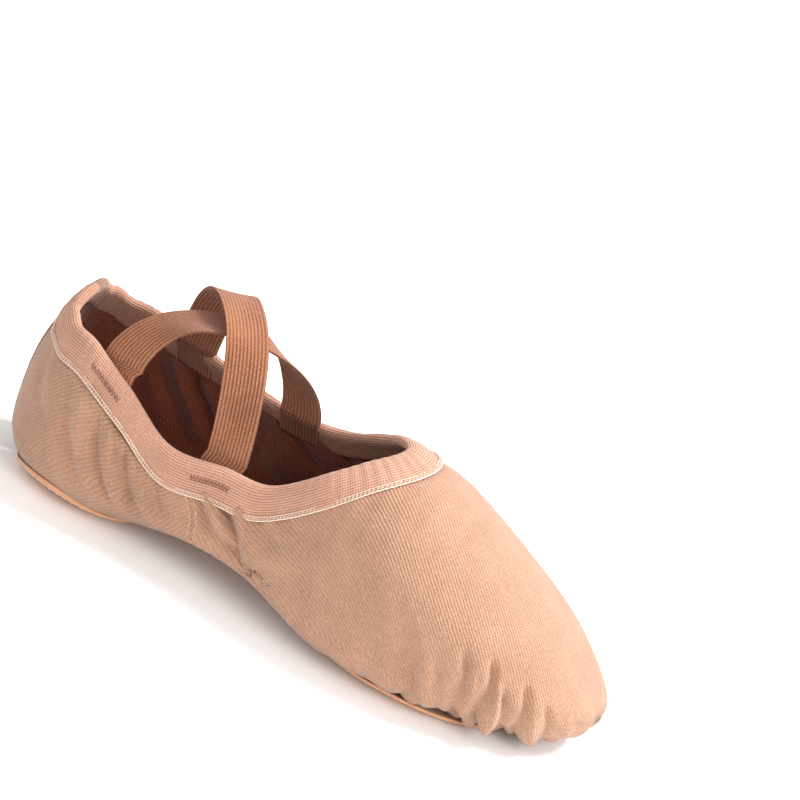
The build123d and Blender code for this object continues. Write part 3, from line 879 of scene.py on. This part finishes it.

# ---- 9. Elastic straps -----------------------------------------------------------
# Two ribbed elastic straps cross over the instep, the front one on top.  Their sewn ends
# hold them to the rim, and each strap rides on a body of its own.
STRAP_RIB = 1.3
strap_webbing = webbing("strap webbing", rgb(176, 118, 86), rgb(96, 52, 33), "v", STRAP_RIB, 0.3)
STRAP_WIDTH = 15.6
# outer station, inner station and rise of each free span
STRAPS = {"strap_rear": (41.0, 97.0, 24.5), "strap_front": (89.0, 50.0, 36.5)}


def strap_feet(outer_station, inner_station):
    """Where a strap leaves the rim on the outer and on the inner side."""
    feet = []
    for station, side, sign in ((outer_station, 1, 1), (inner_station, 2, -1)):
        s, y = opening_point(station, side)
        feet.append(place(s, y, height(s, y, True)) + np.array([0, sign * 3.8, 1.6]))
    return feet


def strap_frame(outer_station, inner_station, rise, count=140):
    """Centres, across directions and normals along one strap's arch."""
    foot, far = strap_feet(outer_station, inner_station)
    t = (0.5 - 0.5 * np.cos(np.linspace(0, pi, count)))[:, None]
    lift = rise * (1 - np.abs(2 * t - 1) ** 2.4) ** (1 / 1.6)
    centre = foot + (far - foot) * t + np.array([0, 0, 1]) * lift
    chord = (far - foot) * np.array([1, 1, 0])
    chord /= np.linalg.norm(chord)
    across = np.array([1, 0, 0]) * (1 - np.sin(pi * t)) + np.cross(chord, [0, 0, 1]) * np.sin(pi * t)
    across /= np.linalg.norm(across, axis=1, keepdims=True)
    along = np.gradient(centre, axis=0)
    normal = np.cross(along, across)
    return centre, across, normal / np.linalg.norm(normal, axis=1, keepdims=True)


def ribbed(name, centre, across, normal, body):
    """A strap's webbing along a line, with raised ribs and a slight cup across it."""
    share = np.linspace(-1, 1, 97)
    from_edge = (share + 1) * STRAP_WIDTH / 2
    ribs = np.abs(np.sin(from_edge * pi / STRAP_RIB)) ** 0.7
    edge = np.sqrt(np.clip(1 - np.abs(share) ** 14, 0, 1))
    half = (0.36 + 0.26 * ribs) * (0.35 + 0.65 * edge)
    run = np.r_[0, np.cumsum(np.linalg.norm(np.diff(centre, axis=0), axis=1))]
    pull = 1 - 0.02 * np.sin(run / 19)
    flat = centre[:, None] + across[:, None] * (share * STRAP_WIDTH / 2)[None, :, None] * pull[:, None, None]
    cup = 0.5 * (share**2)[None, :, None] * np.sin(np.linspace(0, pi, len(centre)))[:, None, None]
    top = flat + normal[:, None] * (half[None, :, None] - cup)
    low = flat - normal[:, None] * (half[None, :, None] + cup)
    uv = np.stack(np.meshgrid(run, from_edge, indexing="ij"), -1)
    return cloth(name, top, low, uv, [strap_webbing], body=body)


for name, strap in STRAPS.items():
    band = ribbed(name + "_band", *strap_frame(*strap), name)
    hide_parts(name)

# ---- 10. Strap ends and bar tacks ------------------------------------------------
# Inside the rim each strap ends in a flat tab; a reddish zigzag bar tack sewn through the
# binding holds it, and shows on the outside.
tack_thread = plain("bar tack thread", rgb(140, 70, 50))
# station, side, strap, and which end of it
ENDS = {"rear_outer": (41.0, 1, "strap_rear", 0), "front_inner": (97.0, 2, "strap_rear", 1),
        "front_outer": (89.0, 1, "strap_front", 0), "rear_inner": (50.0, 2, "strap_front", 1)}


TAB_LENGTH = 11.5
TAB_INWARD = 3.3
TACK_LENGTH = 15
TACK_DEPTH = 6.2
TACK_TURNS = 22
for name, (station, side, strap, which) in ENDS.items():
    centre, across, _ = strap_frame(*STRAPS[strap])
    foot, side_way = centre[-which], across[-which]
    rear, points, ahead = (column(s, facing(s), side, start=0.0, stop=TAB_LENGTH, count=12)[0]
                           for s in (station - 4, station, station + 4))
    down = points + np.array([0, TAB_INWARD if side == 1 else -TAB_INWARD, 0])
    line = np.r_[foot[None], down[1:]]
    line = resampled(line, np.linspace(0, length_of(line), 40))
    blend = np.linspace(0, 1, 40)[:, None]
    forward = (ahead[6] - rear[6]) / np.linalg.norm(ahead[6] - rear[6])
    wide = side_way * (1 - blend) + forward * blend
    wide /= np.linalg.norm(wide, axis=1, keepdims=True)
    out = np.cross(np.gradient(line, axis=0), wide)
    out /= np.linalg.norm(out, axis=1, keepdims=True)
    tab = ribbed("strap_end_" + name + "_tab", line, wide, out, "slipper")
    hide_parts("strap_end_" + name)
    half = wall.shape[0] // 2
    columns = np.arange(half + 1) if side == 1 else np.arange(half, wall.shape[0])
    at_foot = columns[np.argmin(np.linalg.norm(wall[columns, MIDDLE_ROW] - points[6], axis=1))]
    line, up = [], []
    for k in range(TACK_TURNS + 1):
        spot = loop_arc[at_foot] + (k / TACK_TURNS - 0.5) * TACK_LENGTH
        line.append(pick(on_wall(TACK_DEPTH + (1.0 if k % 2 else -1.0), 1.55), spot))
        up.append(pick(wall_normal[:, MIDDLE_ROW], spot))
    verts, faces = [], []
    tube(verts, faces, line, up, 0.17)
    tack = finish_piece("bar_tack_" + name + "_zigzag", verts, faces, [tack_thread])
    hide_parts("bar_tack_" + name)

# ---- 11. Seam tapes --------------------------------------------------------------
# Inside, the side seam allowances lie flat under a narrow woven tape.
TAPE_WIDTH = 5.2
TAPE_THICK = 0.7
tape_weave = webbing("seam tape weave", rgb(150, 96, 68), rgb(98, 56, 38), "v", 0.8, 0.15)
for side, name in ((1, "seam_tape_outer"), (2, "seam_tape_inner")):
    grid, n = quarter_grid[side]
    last = side == 1
    distances = np.linspace(0.3, 0.3 + TAPE_WIDTH, 8)
    lines = [beside(grid - n * CANVAS * 1.02, n, distance, last) for distance in distances]
    rows = min(len(line) for line, _ in lines)
    face = np.stack([line[:rows] for line, _ in lines])[:, 8:rows - 62]
    up = np.stack([line[:rows] for _, line in lines])[:, 8:rows - 62]
    if last:
        face, up = face[::-1], up[::-1]
    run = np.linspace(0, 60, face.shape[1])
    uv = np.stack(np.meshgrid(distances - 0.3, run, indexing="ij"), -1)
    tape = cloth(name + "_strip", face, face - up * TAPE_THICK, uv, [tape_weave])
    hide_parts(name)

# ---- 12. Size numeral ------------------------------------------------------------
# A generic size number in gold foil on the forefoot patch, pressed into the suede.
foil = Sheet("gold foil", Roughness=0.35, Metallic=0.9)
foil.set("Base Color", foil.blend(foil.noise(1.2, 3.0), rgb(214, 170, 84), rgb(250, 226, 150)))
NUMERAL_AT = (40, 12)
STROKE_HALF = 0.55
three = [(0.1, 7.4), (1.2, 8.3), (2.9, 8.3), (4.0, 7.3), (4.0, 5.9), (3.0, 4.8), (1.9, 4.5), (3.1, 4.2),
         (4.3, 3.1), (4.3, 1.5), (3.0, 0.2), (1.2, 0.2), (0.0, 1.2)]
seven = [(0.0, 8.2), (4.4, 8.2), (2.9, 4.2), (1.9, 0.0)]
verts, faces = [], []
for shape, move in ((three, 0.0), (seven, 6.4)):
    line = np.array(shape) + [move, 0]
    along = np.gradient(line, axis=0)
    side_way = np.stack([-along[:, 1], along[:, 0]], -1) / np.linalg.norm(along, axis=1)[:, None]
    for k, point in enumerate(line):
        for half in (-STROKE_HALF, STROKE_HALF):
            x, y = point + side_way[k] * half
            verts.append((NUMERAL_AT[0] - y, NUMERAL_AT[1] - x, -0.02))
        if k:
            b = len(verts) - 4
            faces.append((b, b + 1, b + 3, b + 2))
numeral = finish_piece("size_numeral", verts, faces, [foil.material])

# ---- 13. Floor, light and camera -------------------------------------------------
# A plain pale floor and soft studio light from above and from the toe side.
bpy.ops.mesh.primitive_plane_add(size=8, location=(0, 0, -0.0003))
floor = bpy.context.object
floor.name = "floor"
paper = Sheet("floor paper", Base_Color=(1.0, 1.0, 1.0, 1), Roughness=0.9, Specular_IOR_Level=0.1)
floor.data.materials.append(paper.material)
floor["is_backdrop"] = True
world = bpy.data.worlds.new("studio")
world.use_nodes = True
world.node_tree.nodes["Background"].inputs["Color"].default_value = (1, 1, 1, 1)
world.node_tree.nodes["Background"].inputs["Strength"].default_value = 0.72
bpy.context.scene.world = world
bpy.context.scene.view_settings.view_transform = "Standard"
for name, spot, size, power in (("key", (0.5, 0.3, 0.85), 0.35, 16), ("front", (0.8, -0.5, 0.5), 0.5, 6),
                                ("fill", (-0.5, -0.8, 0.7), 0.8, 2.5)):
    light = bpy.data.lights.new(name, "AREA")
    light.size, light.energy = size, power
    lamp = bpy.data.objects.new(name, light)
    lamp.location = spot
    lamp.rotation_euler = (Vector((0, 0, 0.03)) - Vector(spot)).to_track_quat("-Z", "Y").to_euler()
    bpy.context.collection.objects.link(lamp)
    lamp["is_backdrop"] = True

azimuth, elevation, roll = radians(16.714), radians(27.310), radians(20.008)
back = Vector((sin(azimuth) * cos(elevation), -cos(azimuth) * cos(elevation), sin(elevation)))
right = (-back).cross(Vector((0, 0, 1))).normalized()
up = right.cross(-back)
right, up = right * cos(roll) + up * sin(roll), up * cos(roll) - right * sin(roll)
basis = Matrix((right, up, back)).transposed()
# the slipper sits a little to the left of the view's middle and below it
aim = Vector((-0.02809, -0.03999, -1)).rotation_difference(Vector((0, 0, -1))).to_matrix()
lens = bpy.data.cameras.new("camera")
lens.lens, lens.sensor_width = 150.4, 36
camera = bpy.data.objects.new("camera", lens)
camera.matrix_world = Matrix.Translation(Vector((0, -0.001, 0.025)) + back * 1.153) @ (basis @ aim).to_4x4()
bpy.context.collection.objects.link(camera)
bpy.context.scene.camera = camera

# ---- closing -------------------------------------------------------------------
size = {"cad": [list(map(float, v)) for v in cad_box], "visual": [list(map(float, v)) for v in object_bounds()]}
